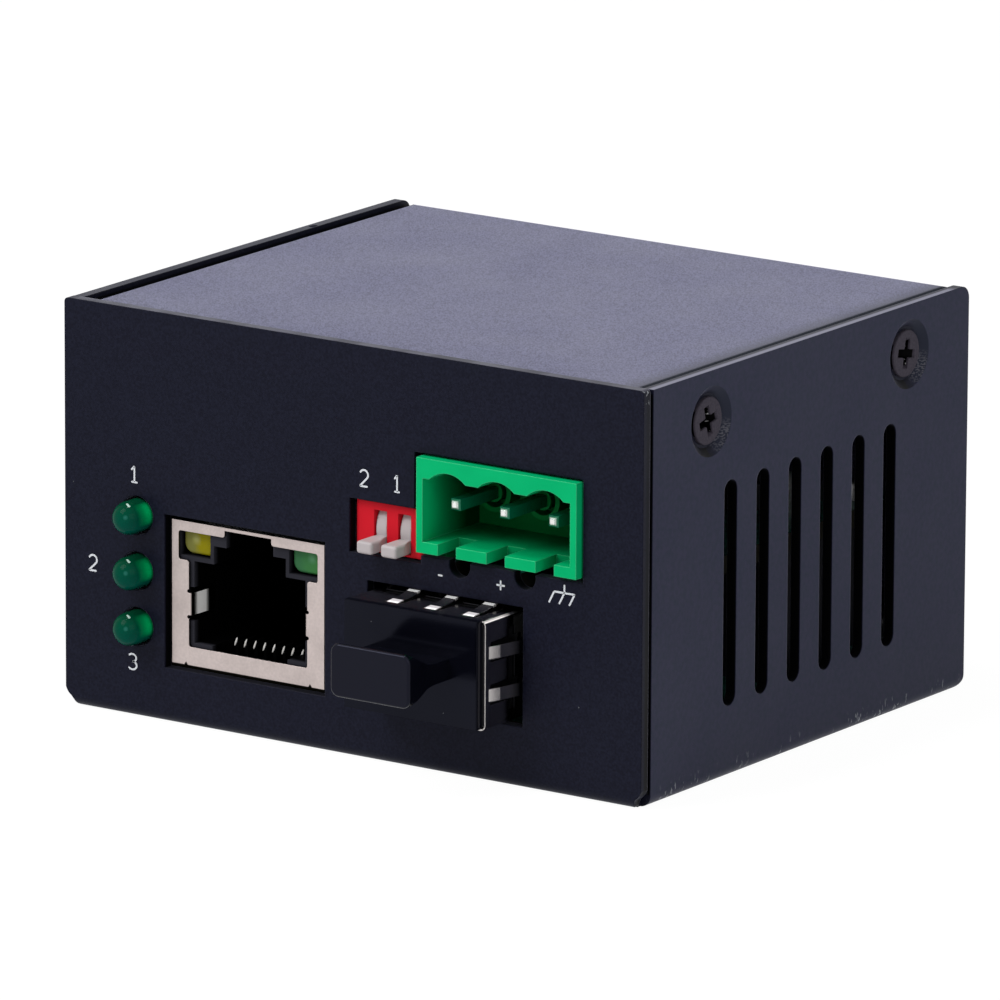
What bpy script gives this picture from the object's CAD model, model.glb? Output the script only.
# %% [markdown]
# # A fibre media converter
#
# The object is a small folded-steel box with a network jack, an optical port, a power header and two
# switches on its front.  Its solids come from a CAD model, already at their real size and place, so
# this lesson is about the finish of every surface, the printed marks, the light and the camera.

# %% Load the solids
import math

import bpy
import numpy as np
from mathutils import Matrix, Vector


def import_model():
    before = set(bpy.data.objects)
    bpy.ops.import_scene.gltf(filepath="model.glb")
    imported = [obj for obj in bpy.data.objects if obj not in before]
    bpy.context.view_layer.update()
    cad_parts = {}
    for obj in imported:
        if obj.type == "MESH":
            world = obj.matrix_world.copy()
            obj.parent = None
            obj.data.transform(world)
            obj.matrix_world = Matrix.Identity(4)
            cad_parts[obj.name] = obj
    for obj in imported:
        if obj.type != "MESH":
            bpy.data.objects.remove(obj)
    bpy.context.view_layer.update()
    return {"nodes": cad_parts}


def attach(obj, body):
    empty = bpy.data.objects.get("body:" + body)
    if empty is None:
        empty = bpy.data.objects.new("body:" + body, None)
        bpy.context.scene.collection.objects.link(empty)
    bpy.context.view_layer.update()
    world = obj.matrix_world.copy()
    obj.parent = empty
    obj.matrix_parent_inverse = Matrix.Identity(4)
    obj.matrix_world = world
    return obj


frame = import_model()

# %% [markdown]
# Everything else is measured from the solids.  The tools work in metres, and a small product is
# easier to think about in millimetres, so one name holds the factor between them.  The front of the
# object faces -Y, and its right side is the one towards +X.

MM = 0.001
WHITE = (1.0, 1.0, 1.0, 1.0)
RIGHT = (1.0, 0.0, 0.0)
REAR = (0.0, 1.0, 0.0)
FRONT = (0.0, -1.0, 0.0)
UP = (0.0, 0.0, 1.0)

scene = bpy.context.scene
nodes = frame["nodes"]

# %% [markdown]
# ## The camera
#
# Such a product is shown from far away with a long lens, so that its edges stay nearly parallel.
# The camera could be moved by hand until the view looks right.  Here it is built from the turn round
# the object, the height above it, a slight roll and the distance, because each of those can then be
# read and mended by itself.

# %% Camera
TURN = 0.603414524
RISE = 0.241209041
ROLL = 0.00528363
DISTANCE = 1.0383
LOOK_AT = Vector((0.0, -0.0001, 0.01865))
LENS = 425.5
SENSOR = 36.0
SHIFT_X = -0.0167
SHIFT_Y = -0.0091
FARTHEST = 20.0


def view_axes(turn, rise, roll):
    """Right, up and backward directions of a camera turned about +Z, raised, then rolled."""
    back = Vector((math.sin(turn) * math.cos(rise), -math.cos(turn) * math.cos(rise), math.sin(rise)))
    right = Vector((math.cos(turn), math.sin(turn), 0.0))
    up = back.cross(right)
    rolled_right = math.cos(roll) * right + math.sin(roll) * up
    rolled_up = math.cos(roll) * up - math.sin(roll) * right
    return rolled_right, rolled_up, back


camera_data = bpy.data.cameras.new("camera")
camera_data.lens = LENS
camera_data.sensor_width = SENSOR
camera_data.shift_x = SHIFT_X
camera_data.shift_y = SHIFT_Y
camera_data.clip_end = FARTHEST
camera = bpy.data.objects.new("camera", camera_data)
axes = view_axes(TURN, RISE, ROLL)
standpoint = Matrix.Translation(LOOK_AT + DISTANCE * axes[2])
camera.matrix_world = standpoint @ Matrix(axes).transposed().to_4x4()
scene.collection.objects.link(camera)
scene.camera = camera
print("camera stands at", [round(v, 3) for v in camera.location])

# %% [markdown]
# ## Light and surroundings
#
# The world and every finish are networks of nodes.  They could be drawn in the node editor.  Written
# down they can be repeated exactly, and three short functions keep them brief: one adds a node with
# its settings, one does arithmetic, and one tells what is looked at from what is only lit.

# %% Node helpers
def add(tree, kind, inputs=None, **properties):
    """New node of a kind, with its properties and its inputs set; a socket given as an input is linked."""
    node = tree.nodes.new(kind)
    for name, value in properties.items():
        setattr(node, name, value)
    for name, value in (inputs or {}).items():
        if isinstance(value, bpy.types.NodeSocket):
            tree.links.new(value, node.inputs[name])
        else:
            node.inputs[name].default_value = value
    return node


def arithmetic(tree, operation, first, second=0.0):
    """One sum, product or comparison of two sockets or numbers, kept between 0 and 1."""
    return add(tree, "ShaderNodeMath", {0: first, 1: second}, operation=operation, use_clamp=True).outputs[0]


def seen_directly(tree):
    """1 for what the camera sees, also in a reflection or through glass, and 0 for light on surfaces."""
    path = add(tree, "ShaderNodeLightPath")
    mirrored = arithmetic(tree, "ADD", path.outputs["Is Camera Ray"], path.outputs["Is Glossy Ray"])
    return arithmetic(tree, "ADD", mirrored, path.outputs["Is Transmission Ray"])


# %% [markdown]
# Dark paint is seen mostly through what it reflects, and the object stands in a bright white room.
# Walls could be built for it, but they would have corners that show in the glossy parts.  So the
# world itself is white.  It shows full white to the camera and to reflections, and gives surfaces
# less than that as light, which keeps their colours at the level they are written.

# %% World
WORLD_LIGHT = 0.40

world = bpy.data.worlds.new("white_room")
world.use_nodes = True
scene.world = world
tree = world.node_tree
tree.nodes.clear()
direct = seen_directly(tree)
strength = add(tree, "ShaderNodeMapRange", {"Value": direct, "To Min": WORLD_LIGHT, "To Max": 1.0})
background = add(tree, "ShaderNodeBackground", {"Color": WHITE, "Strength": strength.outputs[0]})
add(tree, "ShaderNodeOutputWorld", {"Surface": background.outputs[0]})
print("the room lights surfaces with", WORLD_LIGHT, "of the brightness it shows")

# %% [markdown]
# The object stands on a plain white table.  A bent backdrop would do for one view, but a flat sheet
# that runs off to every side works for all of them.  Most of what the camera sees of it is a steady
# white, and the rest is real light and shade, so the object still has a faint shadow.  It lies a
# hair below the object and is clear from underneath, so the underside can be looked at.

# %% Floor
FLOOR_SIZE = 6.0
FLOOR_PAINT = (0.9, 0.9, 0.9, 1.0)
FLOOR_SHADE = 0.08
FLOOR_STEADY = 1.05
FLOOR_DROP = 0.02 * MM


def floor_material():
    """White that is mostly steady for the camera, with a share of real shading for the shadow."""
    material = bpy.data.materials.new("floor_white")
    material.use_nodes = True
    tree = material.node_tree
    tree.nodes.clear()
    steady = add(tree, "ShaderNodeEmission", {"Color": WHITE, "Strength": FLOOR_STEADY})
    shaded = add(tree, "ShaderNodeBsdfDiffuse", {"Color": FLOOR_PAINT})
    share = arithmetic(tree, "MULTIPLY", seen_directly(tree), 1.0 - FLOOR_SHADE)
    mixed = add(tree, "ShaderNodeMixShader", {0: share, 1: shaded.outputs[0], 2: steady.outputs[0]})
    from_below = add(tree, "ShaderNodeNewGeometry").outputs["Backfacing"]
    clear = add(tree, "ShaderNodeBsdfTransparent")
    sides = {0: from_below, 1: mixed.outputs[0], 2: clear.outputs[0]}
    one_sided = add(tree, "ShaderNodeMixShader", sides)
    add(tree, "ShaderNodeOutputMaterial", {"Surface": one_sided.outputs[0]})
    return material


half = FLOOR_SIZE / 2
corners = [(-half, -half, 0), (half, -half, 0), (half, half, 0), (-half, half, 0)]
floor_mesh = bpy.data.meshes.new("floor")
floor_mesh.from_pydata(corners, [], [(0, 1, 2, 3)])
floor = bpy.data.objects.new("floor", floor_mesh)
floor.location.z = -FLOOR_DROP
floor_mesh.materials.append(floor_material())
scene.collection.objects.link(floor)
print("floor:", FLOOR_SIZE, "m wide and", FLOOR_DROP / MM, "mm below the object")

# %% [markdown]
# White light from all sides would leave the object flat.  Three lamps shape it: a large soft key
# from the front left, a small one high overhead that gives the glints and says which way is up, and
# a weak fill from the right.

# %% Lamps
def soft_lamp(name, place, size, energy, length=None):
    """Area lamp at a place, square or with a longer side, turned towards the middle of the object."""
    data = bpy.data.lights.new(name, "AREA")
    data.shape = "RECTANGLE"
    data.size = size
    data.size_y = length or size
    data.energy = energy
    lamp = bpy.data.objects.new(name, data)
    lamp.location = place
    lamp.rotation_euler = (LOOK_AT - Vector(place)).to_track_quat("-Z", "Y").to_euler()
    scene.collection.objects.link(lamp)
    print(name, "lamp:", energy, "W from", place)


soft_lamp("key", (-0.30, -0.46, 0.58), 0.40, 3.4)
soft_lamp("overhead", (-0.125, -0.14, 0.80), 0.05, 1.4, 0.14)
soft_lamp("fill", (0.55, -0.45, 0.35), 0.5, 0.9)

# %% [markdown]
# ## Finishes
#
# Each finish is a small network on the shader named Principled BSDF.  Painted textures could do the
# same, but every folded face would have to be unwrapped for them, and they blur up close.  In a
# network the steady numbers are set on the shader itself, and only what varies over the surface is
# worked out by nodes.  Further colours are laid over the first one by shares between 0 and 1.

# %% Finish helpers
def new_finish(name, colour, roughness, metallic=0.0, ior=1.5, **sockets):
    """Material with one Principled BSDF; further sockets are given by name with _ for a space."""
    material = bpy.data.materials.new(name)
    material.use_nodes = True
    tree = material.node_tree
    tree.nodes.clear()
    steady = {"Base Color": (*colour, 1.0), "Roughness": roughness, "Metallic": metallic, "IOR": ior}
    shader = add(tree, "ShaderNodeBsdfPrincipled", steady)
    for socket, value in sockets.items():
        shader.inputs[socket.replace("_", " ")].default_value = value
    add(tree, "ShaderNodeOutputMaterial", {"Surface": shader.outputs[0]})
    add(tree, "ShaderNodeTexCoord", name="place")
    return material, tree, shader


def principled(tree):
    """The finish's own shader."""
    return next(node for node in tree.nodes if node.type == "BSDF_PRINCIPLED")


def feed(tree, shader, socket, value):
    """Let a value drive one of the shader's sockets."""
    tree.links.new(value, shader.inputs[socket])


def span(tree, value, low, high, start=0.0, end=1.0):
    """start where value is at low or less, end where it is at high or more, straight between."""
    inputs = {"Value": value, "From Min": low, "From Max": high, "To Min": start, "To Max": end}
    return add(tree, "ShaderNodeMapRange", inputs).outputs[0]


def blend_colours(tree, share, first, second):
    """Colour that goes from first to second as share goes from 0 to 1.

    A mix of colours takes the colours at its inputs 6 and 7 and gives the result at its output 2.
    """
    first, second = [(*value, 1.0) if isinstance(value, tuple) else value for value in (first, second)]
    return add(tree, "ShaderNodeMix", {0: share, 6: first, 7: second}, data_type="RGBA").outputs[2]


def tint(material, share, colour):
    """Blend a further colour over what the finish shows already, by a share."""
    tree = material.node_tree
    shader = principled(tree)
    shown = shader.inputs["Base Color"].links[0].from_socket
    feed(tree, shader, "Base Color", blend_colours(tree, share, shown, colour))


def tell(*materials):
    """Print how many nodes each finish has so far."""
    for material in materials:
        print(material.name, "has", len(material.node_tree.nodes), "nodes")


# %% [markdown]
# Real surfaces are never quite even.  Patterns stand for that: cloudy noise of a given size, and
# single specks.  They are laid out in the object's own coordinates, so they have a real size and
# stay on the part.  Relief is a pattern used as height, which is much lighter than real grains in
# the mesh.

# %% Pattern helpers
BEVEL_SAMPLES = 6


def noise(tree, size_mm, detail=2.0, longer=None, turn=0.0):
    """Soft random pattern, 0 to 1, of blobs about size_mm wide, longer along each axis by a factor."""
    place = tree.nodes["place"].outputs["Object"]
    if longer:
        inputs = {"Vector": place, "Scale": longer, "Rotation": (0.0, 0.0, turn)}
        place = add(tree, "ShaderNodeMapping", inputs, vector_type="TEXTURE").outputs[0]
    inputs = {"Vector": place, "Scale": 1 / (size_mm * MM), "Detail": detail}
    return add(tree, "ShaderNodeTexNoise", inputs).outputs[0]


def specks(tree, spacing_mm, size_mm, share):
    """Small round dots, 1 inside and 0 outside: one in some cells of a grid of random points."""
    cells = add(tree, "ShaderNodeTexVoronoi", {"Vector": tree.nodes["place"].outputs["Object"],
                                               "Scale": 1 / (spacing_mm * MM), "Randomness": 1.0})
    dot = span(tree, cells.outputs["Distance"], size_mm / spacing_mm / 2, size_mm / spacing_mm, 1.0, 0.0)
    chosen = span(tree, cells.outputs["Color"], 1 - share, 1 - share + 0.01)
    return arithmetic(tree, "MULTIPLY", dot, chosen)


def eased_normal(tree, radius_mm):
    """Normal of the surface with its sharp edges rounded to a radius."""
    return add(tree, "ShaderNodeBevel", {"Radius": radius_mm * MM}, samples=BEVEL_SAMPLES).outputs[0]


def relief(tree, shader, height, depth_mm, edge_mm=0.0):
    """Bump of a real depth on the shader's normal, over edges eased by a radius."""
    inputs = {"Height": height, "Strength": 1.0, "Distance": depth_mm * MM}
    if edge_mm:
        inputs["Normal"] = eased_normal(tree, edge_mm)
    feed(tree, shader, "Normal", add(tree, "ShaderNodeBump", inputs).outputs[0])


# %% [markdown]
# Paint wears, and light fades, in some places more than in others.  A zone could be a material of
# its own on its own faces, but then it would end in a hard line.  Masks fade: they are 1 in some
# place, or on surfaces that face some way, and 0 elsewhere, with a soft step between, and a product
# of masks narrows them down.  Places are in millimetres, and the two numbers of a step are where it
# begins and where it ends.

# %% Mask helpers
EDGE_LEAN = (0.86, 0.985)


def coordinate(tree, axis):
    """One of the object's own coordinates, in millimetres."""
    place = add(tree, "ShaderNodeSeparateXYZ", {0: tree.nodes["place"].outputs["Object"]})
    return add(tree, "ShaderNodeMath", {0: place.outputs[axis], 1: 1 / MM}, operation="MULTIPLY").outputs[0]


def past(tree, axis, low, high):
    """0 before the step along an axis and 1 past it."""
    return span(tree, coordinate(tree, axis), low, high)


def before(tree, axis, low, high):
    """1 before the step along an axis and 0 past it."""
    return span(tree, coordinate(tree, axis), low, high, 1.0, 0.0)


def overlap(tree, first, *others):
    """Product of shares: 1 only where all of them are 1."""
    for share in others:
        first = arithmetic(tree, "MULTIPLY", first, share)
    return first


def between(tree, axis, low, high, ease):
    """1 between two places on an axis, fading to 0 over ease on both sides."""
    return overlap(tree, past(tree, axis, low - ease, low), before(tree, axis, high, high + ease))


def outside(tree, share):
    """1 where a share is 0, and 0 where it is 1."""
    return arithmetic(tree, "SUBTRACT", 1.0, share)


def facing(tree, direction, low, high):
    """0 to 1 as the part of the surface's normal that points along a direction goes from low to high."""
    normal = add(tree, "ShaderNodeNewGeometry").outputs["Normal"]
    towards = add(tree, "ShaderNodeVectorMath", {0: normal, 1: direction}, operation="DOT_PRODUCT")
    return span(tree, towards.outputs["Value"], low, high)


def edge_share(tree, radius_mm):
    """1 along sharp edges and 0 on flats, from how far the eased normal leans from the flat one."""
    flat = add(tree, "ShaderNodeNewGeometry").outputs["True Normal"]
    inputs = {0: eased_normal(tree, radius_mm), 1: flat}
    lean = add(tree, "ShaderNodeVectorMath", inputs, operation="DOT_PRODUCT")
    return span(tree, lean.outputs["Value"], *EDGE_LEAN, 1.0, 0.0)


# %% [markdown]
# ### Powder coat
#
# The case is steel with a baked powder paint: nearly black, a little blue, with a fine grain like
# orange peel.  Looked at squarely it is black, and at a slant it turns pale, because the tiny grains
# catch the light at their edges.  Grains of real depth would take far too many faces, so a thin blue
# sheen in the shader does the same.  Dust sits on the paint as single pale dots.  One function makes
# four paints: the tray's, the bleached one on top of the lid, a matt one for the lid's bends, and
# the thin black of the screws.

# %% Powder coat
SHEEN_TINT = (0.72, 0.74, 1.0, 1.0)
DUST = (0.12, 0.13, 0.14)


def powder_coat(name, dark, pale, relief_mm, sheen, ior=1.16, grain_mm=0.2, longer=None, turn=0.0):
    """Paint whose grains run from a dark to a pale colour, with cloudy gloss and single dust grains."""
    material, tree, shader = new_finish(name, pale, 0.42, ior=ior, Sheen_Weight=sheen,
                                        Sheen_Roughness=0.3, Sheen_Tint=SHEEN_TINT)
    grain = noise(tree, grain_mm, 2.0, longer, turn)
    paint = blend_colours(tree, span(tree, grain, 0.34, 0.66), dark, pale)
    paint = blend_colours(tree, specks(tree, 4.2, 0.07, 0.22), paint, DUST)
    feed(tree, shader, "Base Color", paint)
    feed(tree, shader, "Roughness", span(tree, noise(tree, 9.0, 3.0), 0.3, 0.7, 0.38, 0.47))
    relief(tree, shader, noise(tree, 0.17, 2.0), relief_mm, 0.14)
    return material


# The gun passed over the lid aslant, so its grains are drawn out along that line.
SPRAY_TURN = 0.60
SPRAY_LONGER = (1.0, 3.2, 1.0)

case_paint = powder_coat("case_paint", (0.0044, 0.0048, 0.0120), (0.0080, 0.0090, 0.0200), 0.004, 0.2)
lid_paint = powder_coat("lid_paint", (0.026, 0.024, 0.056), (0.126, 0.127, 0.219), 0.008, 0.9, ior=1.19,
                        grain_mm=0.14, longer=SPRAY_LONGER, turn=SPRAY_TURN)
bend_paint = powder_coat("bend_paint", (0.020, 0.023, 0.030), (0.028, 0.032, 0.042), 0.004, 0.0, ior=1.04)
screw_paint = powder_coat("screw_black", (0.044, 0.039, 0.052), (0.062, 0.055, 0.072), 0.003, 0.0, ior=1.10)
tell(case_paint, lid_paint, bend_paint, screw_paint)

# %% [markdown]
# The tray's paint is not the same all over.  The right side is the one that hands take hold of, and
# it has gone a little paler in soft blotches.  Since the tray is a single folded sheet, this is a
# second colour over the first, kept to one wall by a mask.

# %% Handled side
tree = case_paint.node_tree
right_side = overlap(tree, past(tree, "X", 29.8, 30.2), past(tree, "Y", -24.4, -24.2))
blotches = span(tree, noise(tree, 0.45, 3.0), 0.35, 0.65)
handled = blend_colours(tree, blotches, (0.0185, 0.0235, 0.045), (0.0265, 0.0265, 0.055))
tint(case_paint, overlap(tree, facing(tree, RIGHT, 0.5, 0.9), right_side), handled)
tell(case_paint)

# %% [markdown]
# The cut edges on top rub against everything and are worn.  The front panel's edge is so in patches.
# On the right wall only the outer half of the edge is, up to a little before the rear corner,
# because the inner half lies beside the lid.  Masks on three axes pick the edges out.

# %% Worn edges
top_edge = overlap(tree, facing(tree, UP, 0.5, 0.8), past(tree, "Z", 36.1, 36.3))
outer_half = overlap(tree, past(tree, "X", 29.8, 30.0), before(tree, "Y", 22.6, 23.6))
on_wall = overlap(tree, past(tree, "X", 29.4, 29.5), past(tree, "Y", -24.4, -24.3))
patchy = span(tree, noise(tree, 2.5, 3.0), 0.40, 0.60)
panel_edge = blend_colours(tree, patchy, (0.030, 0.030, 0.042), (0.075, 0.075, 0.098))
wall_edge = blend_colours(tree, outer_half, (0.010, 0.010, 0.016), (0.19, 0.19, 0.25))
worn_edge = blend_colours(tree, on_wall, panel_edge, wall_edge)
tint(case_paint, overlap(tree, top_edge, past(tree, "X", -29.6, -29.3)), worn_edge)
tell(case_paint)

# %% [markdown]
# The press that sank the dimples round the screws polished them.  Of each dimple, the part that
# faces forward is a little paler, the part that faces back and up is in the shade, and small flakes
# of paint have lifted where the slope catches the light.  The direction of the surface tells those
# parts apart.

# %% Dimples
DIMPLE_SHADE = (0.0, 0.9, 0.43)
DIMPLE_LIGHT = (0.0, -0.78, 0.63)

dimples = overlap(tree, between(tree, "Z", 27.5, 35.6, 0.4), past(tree, "X", 29.55, 29.7),
                  past(tree, "Y", -18.8, -18.6))
tint(case_paint, overlap(tree, dimples, facing(tree, FRONT, 0.12, 0.45)), (0.020, 0.023, 0.038))
shaded = overlap(tree, dimples, facing(tree, DIMPLE_SHADE, 0.05, 0.35))
tint(case_paint, shaded, (0.0008, 0.0008, 0.0012))
flakes = span(tree, noise(tree, 0.24, 1.0, (1.0, 1.0, 0.5)), 0.46, 0.60)
flaked = overlap(tree, dimples, flakes, facing(tree, DIMPLE_LIGHT, 0.54, 0.66))
tint(case_paint, flaked, (0.085, 0.085, 0.105))
tell(case_paint)

# %% [markdown]
# Hardly any light arrives in the seam beside the front panel, least of all low down, and none inside
# the case or in the thickness of its openings.  A white room without walls would light them all the
# same, so they are made nearly black by their place.

# %% Shaded parts
deeper_down = span(tree, coordinate(tree, "Z"), 34.0, 8.0, 0.5, 1.0)
seam = overlap(tree, facing(tree, RIGHT, 0.5, 0.9), before(tree, "Y", -24.4, -24.3),
               past(tree, "Y", -25.2, -24.95), deeper_down)
tint(case_paint, seam, (0.0006, 0.0006, 0.0012))
within = overlap(tree, past(tree, "Y", -25.42, -25.25), before(tree, "Y", 25.30, 25.45))
within = overlap(tree, within, between(tree, "X", -30.4, 30.38, 0.08), between(tree, "Z", 1.2, 36.1, 0.2))
tint(case_paint, overlap(tree, within, outside(tree, dimples)), (0.0006, 0.0006, 0.0009))
tell(case_paint)

# %% [markdown]
# Bare metal shows in small nicks: short upright ticks along the fold on which the case slid over
# tables, and a few chips on the cut edge of the front panel near its upper corner.  They could be
# cut into the mesh.  As noise cut off at a high level they cost nothing and never repeat.

# %% Nicks
ticks = span(tree, noise(tree, 0.34, 3.0, (1.0, 1.0, 2.9)), 0.60, 0.66)
patches = span(tree, noise(tree, 5.0, 2.0), 0.42, 0.58)
lower_fold = overlap(tree, past(tree, "Z", 0.15, 0.35), before(tree, "Z", 0.7, 1.8))
tint(case_paint, overlap(tree, lower_fold, right_side, ticks, patches), (0.34, 0.36, 0.39))
chips = span(tree, noise(tree, 0.30, 2.0), 0.63, 0.68)
cut_edge = overlap(tree, facing(tree, RIGHT, 0.3, 0.6), before(tree, "Y", -24.9, -24.6))
tint(case_paint, overlap(tree, cut_edge, chips, past(tree, "Z", 34.6, 35.8)), (0.36, 0.38, 0.41))
tell(case_paint)

# %% [markdown]
# The lid's top darkens towards its right bend, which goes down into the narrow gap beside the wall,
# and towards its rear bend, so that it runs into the dark rear wall without a seam.  The first goes
# by place and the second by the direction of the surface.

# %% Lid bend
tree = lid_paint.node_tree
right_bend = overlap(tree, past(tree, "X", 26.2, 28.6), past(tree, "Z", 34.0, 35.0))
tint(lid_paint, right_bend, (0.0, 0.0, 0.002))
tint(lid_paint, facing(tree, REAR, 0.55, 0.95), (0.0062, 0.0069, 0.0160))
tell(lid_paint)

# %% [markdown]
# A driver has rubbed the crosses of the screws: they are black pits with a few bright glints.  All
# four screws share one finish, and bands along the axes find the two crosses on each side.

# %% Screw crosses
tree = screw_paint.node_tree
glints = span(tree, noise(tree, 0.35, 1.0), 0.66, 0.72)
pit = overlap(tree, between(tree, "X", -30.0, 30.0, 0.05), between(tree, "Z", 31.1, 33.2, 0.1))
tint(screw_paint, pit, (0.0006, 0.0006, 0.0008))
front_cross = between(tree, "Y", -16.2, -14.2, 0.1)
rear_cross = between(tree, "Y", 14.9, 16.9, 0.1)
crosses = arithmetic(tree, "ADD", front_cross, rear_cross)
tint(screw_paint, overlap(tree, pit, glints, crosses), (0.55, 0.55, 0.56))
tell(screw_paint)

# %% [markdown]
# ### Metals
#
# The jack's can is tinned steel, pale and a little warm, with a fine rolled grain.  The spring
# collar round the optical port is bright and smooth, and looks dark only because it mirrors the dark
# case.  A metal of one even colour and gloss looks flat and unreal, so each has faint stains,
# and streaks in its gloss that come from noise stretched along an axis.

# %% Metals
STREAK = (1.0, 1.0, 5.0)
STAIN = 0.86


def sheet_metal(name, colour, roughness, relief_mm=0.0, edge_mm=0.05):
    """Metal with darker stains, streaks in its gloss and, where a depth is given, a rolled grain."""
    material, tree, shader = new_finish(name, colour, roughness, metallic=1.0)
    stains = span(tree, noise(tree, 2.5, 3.0), 0.45, 0.75)
    darker = tuple(STAIN * c for c in colour)
    feed(tree, shader, "Base Color", blend_colours(tree, stains, colour, darker))
    lines = noise(tree, 0.12, 2.0, STREAK)
    feed(tree, shader, "Roughness", span(tree, lines, 0.3, 0.7, roughness - 0.03, roughness + 0.05))
    if relief_mm:
        relief(tree, shader, lines, relief_mm, edge_mm)
    else:
        feed(tree, shader, "Normal", eased_normal(tree, edge_mm))
    return material


shield_steel = sheet_metal("tinned_steel", (0.58, 0.50, 0.48), 0.45, relief_mm=0.0016)
collar_steel = sheet_metal("collar_steel", (0.56, 0.53, 0.52), 0.16, edge_mm=0.12)
cage_steel = sheet_metal("cage_steel", (0.05, 0.05, 0.055), 0.35)
zinc_steel = sheet_metal("zinc_steel", (0.35, 0.35, 0.36), 0.35)
tinned_copper = sheet_metal("tinned_copper", (0.82, 0.80, 0.78), 0.22)
contact_gold = sheet_metal("contact_gold", (0.92, 0.84, 0.72), 0.18)
copper_wire = sheet_metal("copper_wire", (0.70, 0.30, 0.12), 0.30)
tell(shield_steel, collar_steel)

# %% [markdown]
# Light falls off quickly inside a deep mouth, faster than a few bounces between mirrors can show,
# and more bounces take long.  So the metal behind a rim is darkened by its depth: the spring tab of
# the jack keeps one bright patch, and the contacts keep only their bent tips.

# %% Jack metal
SHIELD_RIM = (-24.97, -24.88)

tree = shield_steel.node_tree
tint(shield_steel, past(tree, "Y", *SHIELD_RIM), (0.0015, 0.0015, 0.0015))
grain_specks = span(tree, noise(tree, 0.22, 2.0), 0.35, 0.65, 0.0, 0.22)
tint(shield_steel, overlap(tree, grain_specks, before(tree, "Y", *SHIELD_RIM)), (0.36, 0.32, 0.31))
tab_patch = overlap(tree, between(tree, "Y", -24.1, -23.0, 0.5), facing(tree, RIGHT, 0.8, 0.95))
tint(shield_steel, tab_patch, (0.93, 0.92, 0.90))
feed(tree, principled(tree), "Metallic", outside(tree, tab_patch))

contact_tips = sheet_metal("contact_tips", (0.92, 0.88, 0.82), 0.30)
tree = contact_tips.node_tree
tip = overlap(tree, before(tree, "Y", -21.5, -21.2), between(tree, "Z", 6.9, 7.7, 0.1))
tint(contact_tips, outside(tree, tip), (0.0006, 0.0006, 0.0006))
feed(tree, principled(tree), "Metallic", outside(tree, tip))
tell(shield_steel, contact_tips)

# %% [markdown]
# The header's square pins are tinned.  They are bright only on the flat of their tips, and their
# sides mirror the green walls round them.  A true mirror would catch the white room as well, so the
# green is written down as a colour that gets deeper with the distance from the tip.

# %% Header pins
PIN_FACE = (-25.12, -25.02)

pin_tin = sheet_metal("pin_tin", (0.86, 0.86, 0.84), 0.30)
tree = pin_tin.node_tree
tint(pin_tin, edge_share(tree, 0.28), (0.03, 0.14, 0.08))
deeper = past(tree, "Y", -24.5, -19.0)
tint(pin_tin, past(tree, "Y", *PIN_FACE), blend_colours(tree, deeper, (0.0, 0.15, 0.075), (0.0, 0.05, 0.02)))
feed(tree, principled(tree), "Metallic", span(tree, coordinate(tree, "Y"), *PIN_FACE, 1.0, 0.2))
tell(pin_tin)

# %% [markdown]
# The spring collar goes dark where it enters the panel, and below its top fingers.  The first part
# of each top finger is pressed forward, and it, the curled end and one rib lean into the bright room
# in front of them.  That lean is too small to model cleanly, so the normal is pulled towards the
# front there.

# %% Spring collar
FINGER_LEVEL = (15.66, 15.68)
ROOM_SIDE = (0.2, -1.3, 0.2)

tree = collar_steel.node_tree
raised = past(tree, "Z", *FINGER_LEVEL)
sunk = overlap(tree, past(tree, "Y", -27.3, -26.0), before(tree, "Z", *FINGER_LEVEL))
tint(collar_steel, sunk, (0.012, 0.012, 0.014))
tint(collar_steel, past(tree, "Y", -25.6, -25.4), (0.002, 0.002, 0.002))
pressed = overlap(tree, raised, between(tree, "Y", -29.4, -28.35, 0.05))
curled = overlap(tree, raised, between(tree, "Y", -26.2, -25.9, 0.08))
rib = overlap(tree, between(tree, "X", 17.15, 17.6, 0.05), between(tree, "Z", 15.45, 15.62, 0.05))
tint(collar_steel, pressed, (0.26, 0.25, 0.255))
tint(collar_steel, overlap(tree, pressed, past(tree, "Y", -29.30, -28.75)), (0.09, 0.085, 0.088))
tint(collar_steel, curled, (0.07, 0.07, 0.07))
caught = arithmetic(tree, "MAXIMUM", arithmetic(tree, "MAXIMUM", pressed, curled), rib)
forward = add(tree, "ShaderNodeVectorMath", {0: ROOM_SIDE, "Scale": caught}, operation="SCALE")
inputs = {0: eased_normal(tree, 0.12), 1: forward.outputs[0]}
leaning = add(tree, "ShaderNodeVectorMath", inputs, operation="ADD")
unit = add(tree, "ShaderNodeVectorMath", {0: leaning.outputs[0]}, operation="NORMALIZE")
feed(tree, principled(tree), "Normal", unit.outputs[0])
tell(collar_steel)

# %% [markdown]
# ### Moulded plastics
#
# Moulded plastic has a fine sparkle of texture, slightly uneven colour where it flowed in the mould,
# and soft edges.  The edges could be rounded in the mesh, but the eased normal does it without a
# single new face.  One function makes all the plastics, and takes the colour, the gloss and the
# depth of the texture.

# %% Plastics
PALE_DUST = (0.25, 0.25, 0.25)


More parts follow.
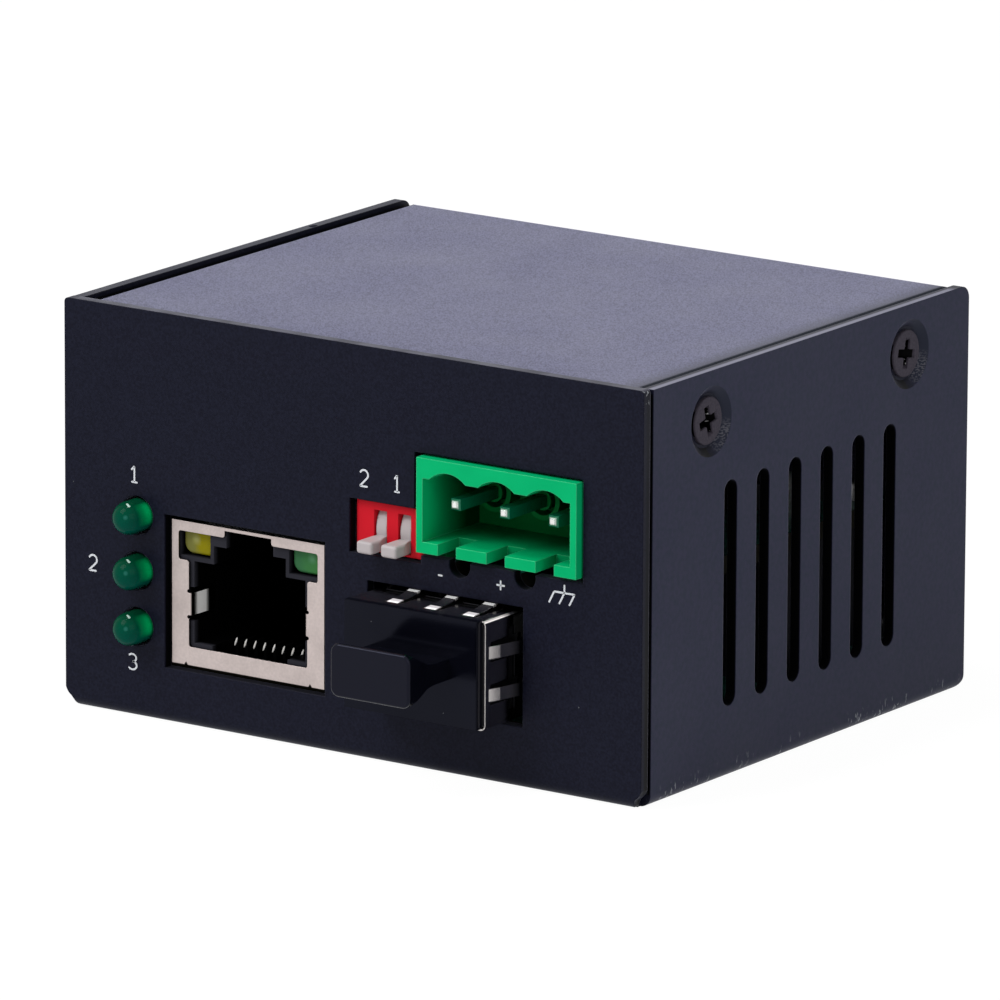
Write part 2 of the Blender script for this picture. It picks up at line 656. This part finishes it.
def moulded(name, colour, roughness, texture_mm=0.0015, edge_mm=0.1, flow=0.12, dust=0.0, ior=1.25,
            **sockets):
    """Plastic with cloudy colour, textured gloss and eased edges; dust is the share of pale specks."""
    material, tree, shader = new_finish(name, colour, roughness, ior=ior, **sockets)
    swirl = noise(tree, 4.0, 2.0)
    paler = tuple(c * (1 + flow) + 0.001 for c in colour)
    plastic = blend_colours(tree, span(tree, swirl, 0.3, 0.7), colour, paler)
    if dust:
        plastic = blend_colours(tree, specks(tree, 2.2, 0.06, dust), plastic, PALE_DUST)
    feed(tree, shader, "Base Color", plastic)
    fine = noise(tree, 0.1, 2.0)
    feed(tree, shader, "Roughness", span(tree, fine, 0.3, 0.7, roughness - 0.04, roughness + 0.06))
    relief(tree, shader, fine, texture_mm, edge_mm)
    return material


black_plastic = moulded("black_plastic", (0.014, 0.014, 0.018), 0.5)
plug_plastic = moulded("plug_plastic", (0.0012, 0.0014, 0.0036), 0.14, texture_mm=0.0005, edge_mm=0.04,
                       dust=0.25, ior=1.245, Specular_Tint=(0.64, 0.68, 1.0, 1.0))
green_plastic = moulded("green_plastic", (0.0, 0.395, 0.138), 0.40, edge_mm=0.12, ior=1.12)
red_plastic = moulded("red_plastic", (0.56, 0.010, 0.021), 0.35, ior=1.12)
white_plastic = moulded("white_plastic", (0.445, 0.405, 0.412), 0.38, edge_mm=0.2)
capacitor_sleeve = moulded("capacitor_sleeve", (0.012, 0.012, 0.020), 0.5, ior=1.12)
fuse_ceramic = moulded("fuse_ceramic", (0.060, 0.055, 0.045), 0.6)
ferrite = moulded("ferrite", (0.04, 0.04, 0.042), 0.75, texture_mm=0.01)
jack_plastic = moulded("jack_plastic", (0.024, 0.024, 0.031), 0.55, edge_mm=0.06, ior=1.08)
tell(green_plastic, plug_plastic)

# %% [markdown]
# The header and the jack are pockets.  Their colour falls off with the distance behind the rim: over
# the whole depth of the header, and within a millimetre in the jack, whose black plastic is textured
# to swallow light.  The header's moulded edges are thinner and let some light through, so they are
# paler than its faces, and its floor and its far wall keep some of the light that falls in.

# %% Pockets
tree = green_plastic.node_tree
tint(green_plastic, edge_share(tree, 0.12), (0.07, 0.56, 0.26))
inner = past(tree, "Y", -25.5, -19.6)
pocket_floor = facing(tree, UP, 0.3, 0.9)
tint(green_plastic, inner, blend_colours(tree, pocket_floor, (0.0, 0.040, 0.006), (0.0, 0.120, 0.035)))
far_wall = overlap(tree, facing(tree, FRONT, 0.6, 0.9), past(tree, "Y", -22.0, -20.0))
tint(green_plastic, far_wall, (0.0, 0.150, 0.032))

tree = jack_plastic.node_tree
tint(jack_plastic, past(tree, "Y", -24.62, -24.05), (0.0006, 0.0006, 0.0008))
tell(green_plastic, jack_plastic)

# %% [markdown]
# The dust plug in the optical port is glossy.  Its tab has the faint line where the two halves of
# the mould met and a slightly paler end.  Its flange is flat right up to the edge, unlike the rest,
# so the eased normal is put straight there instead of giving the plug a second finish.

# %% Dust plug
tree = plug_plastic.node_tree
parting = overlap(tree, between(tree, "Z", 10.66, 10.72, 0.05), before(tree, "Y", -36.5, -36.3))
broken = span(tree, noise(tree, 0.8, 2.0), 0.4, 0.6)
tint(plug_plastic, overlap(tree, parting, broken), (0.012, 0.013, 0.017))
tint(plug_plastic, before(tree, "Y", -36.55, -36.45), (0.0048, 0.0048, 0.0085))
bump = principled(tree).inputs["Normal"].links[0].from_node
flange = between(tree, "Y", -30.85, -30.54, 0.01)
eased = bump.inputs["Normal"].links[0].from_socket
straight = add(tree, "ShaderNodeMix", {0: flange, 4: eased, 5: FRONT}, data_type="VECTOR")
tree.links.new(straight.outputs[1], bump.inputs["Normal"])
tell(plug_plastic)

# %% [markdown]
# ### Lenses
#
# The indicator lamps are cast in clear green resin.  They are deep green where the eye looks
# straight in, and bright on the side away from the lamp overhead, where the light gathers after
# crossing the resin.  Real refraction could show that, but it needs many light paths and comes out
# grainy, so the direction of the surface decides how bright the green is.  The chip inside is seen
# through the tip as a dim dot.  The long lamp overhead leaves a short streak, which is laid down as
# three small glints in a row.

# %% Lamp lenses
CHIP = (0.373, -0.896, 0.239)
GLINTS = ((0.119, -0.387, 0.914), (0.215, -0.428, 0.878), (0.311, -0.464, 0.830))

green_lens, tree, shader = new_finish("green_lens", (0.0, 0.080, 0.050), 0.10, ior=1.10)
uneven = span(tree, noise(tree, 0.9, 2.0), 0.3, 0.7, 0.85, 1.0)
low_side = facing(tree, (0.2, -0.3, -0.93), -0.7, 0.9)
resin = blend_colours(tree, low_side, (0.0, 0.052, 0.022), (0.0, 0.066, 0.046))
root = past(tree, "Y", -27.2, -25.9)
crescent = overlap(tree, facing(tree, (0.95, 0.0, 0.31), 0.72, 1.0), root, uneven)
feed(tree, shader, "Base Color", blend_colours(tree, crescent, resin, (0.0, 0.50, 0.14)))
tint(green_lens, facing(tree, (0.25, 0.0, -0.97), 0.70, 0.98), (0.0, 0.012, 0.009))
tint(green_lens, facing(tree, CHIP, 0.986, 0.999), (0.015, 0.12, 0.09))
for direction in GLINTS:
    tint(green_lens, facing(tree, direction, 0.9965, 0.9990), (0.50, 0.68, 0.60))
tell(green_lens)

# %% [markdown]
# The two lamps in the jack are light guides: flat windows with a stronger colour to the right, a
# dark rim, and a pale spot where the chip sits behind them.  They differ only in colours and places,
# so one function makes both.

# %% Jack lenses
SPOT_HALF = 0.1
SPOT_EASE = 0.45


def light_guide(name, strong, pale, start, end, spot):
    """Flat lens that goes from a strong to a pale colour between two places in X, with a pale spot."""
    material, tree, shader = new_finish(name, strong, 0.15, ior=1.15)
    clouds = span(tree, noise(tree, 1.0, 1.0), 0.3, 0.7, 0.0, 0.7)
    along = add(tree, "ShaderNodeMath", {0: coordinate(tree, "X"), 1: clouds}, operation="ADD").outputs[0]
    feed(tree, shader, "Base Color", blend_colours(tree, span(tree, along, start, end), strong, pale))
    tint(material, edge_share(tree, 0.45), tuple(0.45 * c for c in strong))
    sides = [between(tree, axis, middle - SPOT_HALF, middle + SPOT_HALF, SPOT_EASE)
             for axis, middle in zip("XZ", spot)]
    tint(material, overlap(tree, *sides), tuple(1.5 * c + 0.03 for c in pale))
    return material


yellow_lens = light_guide("yellow_lens", (0.235, 0.205, 0.003), (0.165, 0.165, 0.040),
                          -16.3, -17.3, (-17.15, 16.65))
jack_green_lens = light_guide("jack_green_lens", (0.045, 0.190, 0.045), (0.035, 0.140, 0.055),
                              -3.6, -5.6, (-4.75, 16.75))
tell(yellow_lens, jack_green_lens)

# %% [markdown]
# ### Circuit board
#
# The boards are green laminate with copper tracks under a glossy mask, and bare brown laminate at
# their sawn edges.  Only strips of them show through the vents and under the jack, so a wave texture
# is enough for the tracks, and the direction of the surface tells the faces from the edges.

# %% Circuit board
TRACK_SCALE = 260.0


def circuit_board():
    """Green mask with paler tracks on the flat faces and brown laminate on the edges."""
    material, tree, shader = new_finish("board_green", (0.01, 0.10, 0.07), 0.35, ior=1.25)
    tracks = add(tree, "ShaderNodeTexWave", {"Vector": tree.nodes["place"].outputs["Object"],
                                             "Scale": TRACK_SCALE, "Distortion": 6.0, "Detail": 1.0,
                                             "Detail Scale": 3.0})
    track = span(tree, tracks.outputs["Fac"], 0.72, 0.8)
    faces = blend_colours(tree, track, (0.006, 0.055, 0.04), (0.015, 0.11, 0.08))
    normal = add(tree, "ShaderNodeSeparateXYZ", {0: add(tree, "ShaderNodeNewGeometry").outputs["Normal"]})
    flat = span(tree, arithmetic(tree, "MULTIPLY", normal.outputs["Z"], normal.outputs["Z"]), 0.3, 0.6)
    feed(tree, shader, "Base Color", blend_colours(tree, flat, (0.012, 0.011, 0.006), faces))
    return material


board_green = circuit_board()
tell(board_green)

# %% [markdown]
# ## Dress the solids
#
# A solid keeps its shape and place and only gets a finish.  The finish could be set object by
# object.  One table is easier to check: it says which solids each finish is for, and the last line
# names any that was forgotten.

# %% Dress the solids
dressed = {
    case_paint: ["base_tray"],
    lid_paint: ["lid"],
    screw_paint: ["lid_screws"],
    board_green: ["main_board", "power_board"],
    zinc_steel: ["board_standoffs", "board_screws", "spacer_screws"],
    shield_steel: ["jack_shield"],
    cage_steel: ["sfp_cage", "crystal"],
    collar_steel: ["sfp_emi_collar"],
    contact_gold: ["board_link_pins"],
    contact_tips: ["jack_contacts"],
    tinned_copper: ["lamp_leads", "dip_pins", "chip_leads"],
    pin_tin: ["terminal_pins"],
    black_plastic: ["board_link_header", "board_spacers", "lamp_holder", "sfp_connector",
                    "converter_chip", "regulator", "board_resistors"],
    jack_plastic: ["jack_housing"],
    plug_plastic: ["dust_plug"],
    green_plastic: ["terminal_header"],
    red_plastic: ["dip_body"],
    white_plastic: ["dip_lever_left", "dip_lever_right"],
    fuse_ceramic: ["input_fuse"],
    green_lens: ["lamp_lower", "lamp_middle", "lamp_upper"],
    jack_green_lens: ["jack_lamp_right"],
    yellow_lens: ["jack_lamp_left"],
    capacitor_sleeve: ["storage_capacitors"],
    ferrite: ["power_inductor"],
    copper_wire: ["inductor_winding"],
}
for material, names in dressed.items():
    for name in names:
        nodes[name].data.materials.clear()
        nodes[name].data.materials.append(material)

bare = set(nodes) - {name for names in dressed.values() for name in names}
print("solids without a finish:", sorted(bare) or "none")

# %% [markdown]
# The lid has three finishes: its top is bleached by the light, its rear wall is as dark as the tray,
# and the flanges and the bends above them sit in a narrow gap where there's nothing to mirror.  A
# mask can't change how a paint mirrors, so here each face gets its own material, by the direction it
# faces.

# %% Dress the lid
SIDEWAYS = 0.08
BACKWARD = 0.98

lid = nodes["lid"].data
directions = np.empty(3 * len(lid.polygons))
lid.polygons.foreach_get("normal", directions)
directions = directions.reshape(-1, 3)
lid.materials.append(case_paint)
lid.materials.append(bend_paint)
rear_wall = directions[:, 1] > BACKWARD
bends = np.abs(directions[:, 0]) > SIDEWAYS
places = np.where(bends, 2, np.where(rear_wall, 1, 0))
lid.polygons.foreach_set("material_index", places.astype(np.int32))
print("lid faces on its top, its rear wall, its bends:", np.bincount(places))

# %% [markdown]
# ## Printed marks
#
# Screen-printed marks are thin films of pale ink on the front panel.  Text objects would bring a
# typeface with them, and such panels are printed with plain strokes of one width.  So each stroke is
# a ribbon: a path in the plane of the panel, widened to both sides.  The half width stays the same
# and only closes to a round end, and one formula draws every stroke.  The marks are plain numerals
# for the lamps and switches, a minus and a plus sign for the supply and the sign for earth.

# %% Ribbon helper
PANEL_Y = -25.5
INK_LIFT = 0.02
INK_WIDTH = 0.17
ink = moulded("white_ink", (0.62, 0.64, 0.68), 0.5, edge_mm=0.0, flow=0.05)


def ribbon(path, width, steps=40):
    """Vertices (x, z) and quads of a stroke.

    The path is resampled evenly by length.  At arc length s from the nearer end, and for half width h,
    the ribbon reaches sqrt(h^2 - (h - s)^2) to each side while s < h, and h beyond that.
    """
    path = np.asarray(path, float)
    lengths = np.r_[0.0, np.cumsum(np.hypot(*np.diff(path, axis=0).T))]
    half = width / 2
    total = lengths[-1]
    s = np.linspace(0.0, total, steps)
    end = np.minimum(s, total - s)
    reach = np.sqrt(np.clip(half ** 2 - np.clip(half - end, 0, None) ** 2, 0, None))
    middle = np.c_[np.interp(s, lengths, path[:, 0]), np.interp(s, lengths, path[:, 1])]
    along = np.gradient(middle, axis=0)
    along /= np.hypot(along[:, 0], along[:, 1])[:, None]
    across = np.c_[-along[:, 1], along[:, 0]] * reach[:, None]
    points = np.stack([middle + across, middle - across], axis=1).reshape(-1, 2)
    first = np.arange(steps - 1) * 2
    quads = np.c_[first, first + 1, first + 3, first + 2]
    return points, quads


def print_marks(name, strokes):
    """One mesh of ribbons just in front of the panel, riding the case."""
    points = []
    quads = []
    offset = 0
    for path in strokes:
        stroke_points, stroke_quads = ribbon(path, INK_WIDTH)
        points.append(stroke_points)
        quads.append(stroke_quads + offset)
        offset += len(stroke_points)
    flat = np.concatenate(points)
    vertices = np.c_[flat[:, 0], np.full(len(flat), PANEL_Y - INK_LIFT), flat[:, 1]] * MM
    mesh = bpy.data.meshes.new(name)
    mesh.from_pydata(vertices.tolist(), [], np.concatenate(quads).tolist())
    mesh.update()
    obj = bpy.data.objects.new(name, mesh)
    mesh.materials.append(ink)
    scene.collection.objects.link(obj)
    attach(obj, "case")
    print(name, "has", len(vertices), "vertices")


# %% [markdown]
# The shapes of the signs are few.  Straight strokes and parts of ellipses are enough for all of
# them.

# %% Signs
def arc(x, z, radius_x, radius_z, start, end, steps=16):
    """Points of an elliptic arc; angles in degrees from +X, counter-clockwise."""
    angle = np.radians(np.linspace(start, end, steps))
    return np.c_[x + radius_x * np.cos(angle), z + radius_z * np.sin(angle)]


def numeral(digit, x, z, width, height):
    """Strokes of a plain numeral 1, 2 or 3 in a box whose lower left corner is (x, z)."""
    right = x + width
    top = z + height
    middle = x + width / 2
    bowl = width / 2
    if digit == 1:
        return [[(x, top - 0.25 * height), (middle, top), (middle, z)], [(x, z), (right, z)]]
    if digit == 2:
        crown = arc(middle, top - bowl, bowl, bowl, 165, -35)
        return [np.r_[crown, [(x, z), (right, z)]]]
    upper = arc(middle - 0.05, top - 0.25 * height, bowl, 0.25 * height, 150, -90)
    lower = arc(middle - 0.05, z + 0.27 * height, bowl * 1.1, 0.27 * height, 90, -150)
    return [upper, lower]


def earth_sign(x, z):
    """Stem, bar and three slanting legs; (x, z) is where the stem meets the bar."""
    legs = [[(x + step, z), (x + step - 0.55, z - 1.05)] for step in (-1.05, 0.0, 1.05)]
    return [[(x, z + 0.75), (x, z)], [(x - 1.1, z), (x + 1.1, z)]] + legs


# %% [markdown]
# The marks stand in three groups, by what they belong to, and each group is one piece.  Their places
# are in millimetres.

# %% Marks
switch_strokes = numeral(2, 1.15, 24.35, 0.85, 1.45) + numeral(1, 4.75, 24.35, 0.6, 1.45)
minus = [[(9.35, 17.65), (9.85, 17.65)]]
plus = [[(15.45, 17.7), (16.35, 17.7)], [(15.9, 17.25), (15.9, 18.15)]]
supply_strokes = minus + plus + earth_sign(22.5, 18.0)
lamp_strokes = []
for digit, x, z, width in ((1, -23.3, 21.2, 0.7), (2, -27.9, 12.6, 0.85), (3, -23.6, 4.3, 0.85)):
    lamp_strokes += numeral(digit, x, z, width, 1.4)

print_marks("switch_numerals", switch_strokes)
print_marks("supply_signs", supply_strokes)
print_marks("lamp_numerals", lamp_strokes)

# %% [markdown]
# ## Small things on the surface
#
# Two small things are surfaces given by two parameters on a grid.  Deep in the jack the bent ends of
# the eight contacts show as slanting bright slivers between the teeth of the comb.  On the upper
# edge of the left side a drop of paint ran and set.  Both are too fine for the solids, and as
# formulas they need only a few points.

# %% Surface helper
def surface(name, grids, material):
    """One mesh from grids of points in mm (rows, columns, 3); it rides the case."""
    vertices = []
    faces = []
    offset = 0
    for grid in grids:
        rows, columns = grid.shape[:2]
        index = np.arange(rows * columns).reshape(rows, columns) + offset
        quads = np.stack([index[:-1, :-1], index[:-1, 1:], index[1:, 1:], index[1:, :-1]], axis=-1)
        faces.append(quads.reshape(-1, 4))
        vertices.append(grid.reshape(-1, 3) * MM)
        offset += rows * columns
    mesh = bpy.data.meshes.new(name)
    mesh.from_pydata(np.concatenate(vertices).tolist(), [], np.concatenate(faces).tolist())
    mesh.materials.append(material)
    mesh.update()
    obj = bpy.data.objects.new(name, mesh)
    scene.collection.objects.link(obj)
    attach(obj, "case")
    print(name, "has", offset, "vertices")


# %% [markdown]
# Each sliver is a strip that leans a little, narrows to both ends and is slightly rounded across,
# like the bent end of a flat wire.

# %% Contact ends
CONTACT_PITCH = 1.016
CONTACT_MIDDLE = -10.70
CONTACTS = 8
COMB_FRONT = -22.4
SLIVER_WIDTH = 0.20
SLIVER_LOW = 7.12
SLIVER_HIGH = 7.95
SLIVER_LEAN = 0.30
SLIVER_OFF = 0.03
SLIVER_ROUND = 0.04


def sliver(x):
    """At height share v the strip lies at x + lean * v and is SLIVER_WIDTH * sin(pi * v) ** 0.5 wide."""
    v, u = np.meshgrid(np.linspace(0.02, 0.98, 13), np.linspace(-0.5, 0.5, 5), indexing="ij")
    wide = SLIVER_WIDTH * np.sqrt(np.sin(np.pi * v))
    z = SLIVER_LOW + (SLIVER_HIGH - SLIVER_LOW) * v
    y = COMB_FRONT - SLIVER_OFF - SLIVER_ROUND * np.cos(np.pi * u)
    return np.stack([x + SLIVER_LEAN * (v - 0.5) + wide * u, y, z], axis=-1)


middles = CONTACT_MIDDLE + CONTACT_PITCH * (np.arange(CONTACTS) - (CONTACTS - 1) / 2)
sliver_metal, tree, shader = new_finish("sliver_metal", (0.95, 0.93, 0.88), 0.5)
cloudy = blend_colours(tree, noise(tree, 0.3, 2.0), (0.98, 0.97, 0.95), (0.80, 0.76, 0.70))
feed(tree, shader, "Base Color", cloudy)
surface("contact_ends", [sliver(x) for x in middles], sliver_metal)

# %% [markdown]
# The drop is half an ellipsoid, flat side down.  The angle u runs round it, and v goes from its rim
# to its top.

# %% Drop of paint
DROP_PLACE = (-29.95, 11.0, 36.59)
DROP_SIZE = (0.34, 0.55, 0.13)

v, u = np.meshgrid(np.linspace(0.0, 0.5 * np.pi, 9), np.linspace(0.0, 2 * np.pi, 25), indexing="ij")
ball = np.stack([np.cos(u) * np.cos(v), np.sin(u) * np.cos(v), np.sin(v)], axis=-1)
drop = np.asarray(DROP_PLACE) + np.asarray(DROP_SIZE) * ball
surface("paint_drop", [drop], case_paint)

# %% [markdown]
# ## Finish
#
# The last cell writes down the box of the solids and the box of everything that shows, so that the
# two can be compared, and hands over.

# %% Sizes and hand-over
scene.view_settings.view_transform = "Standard"
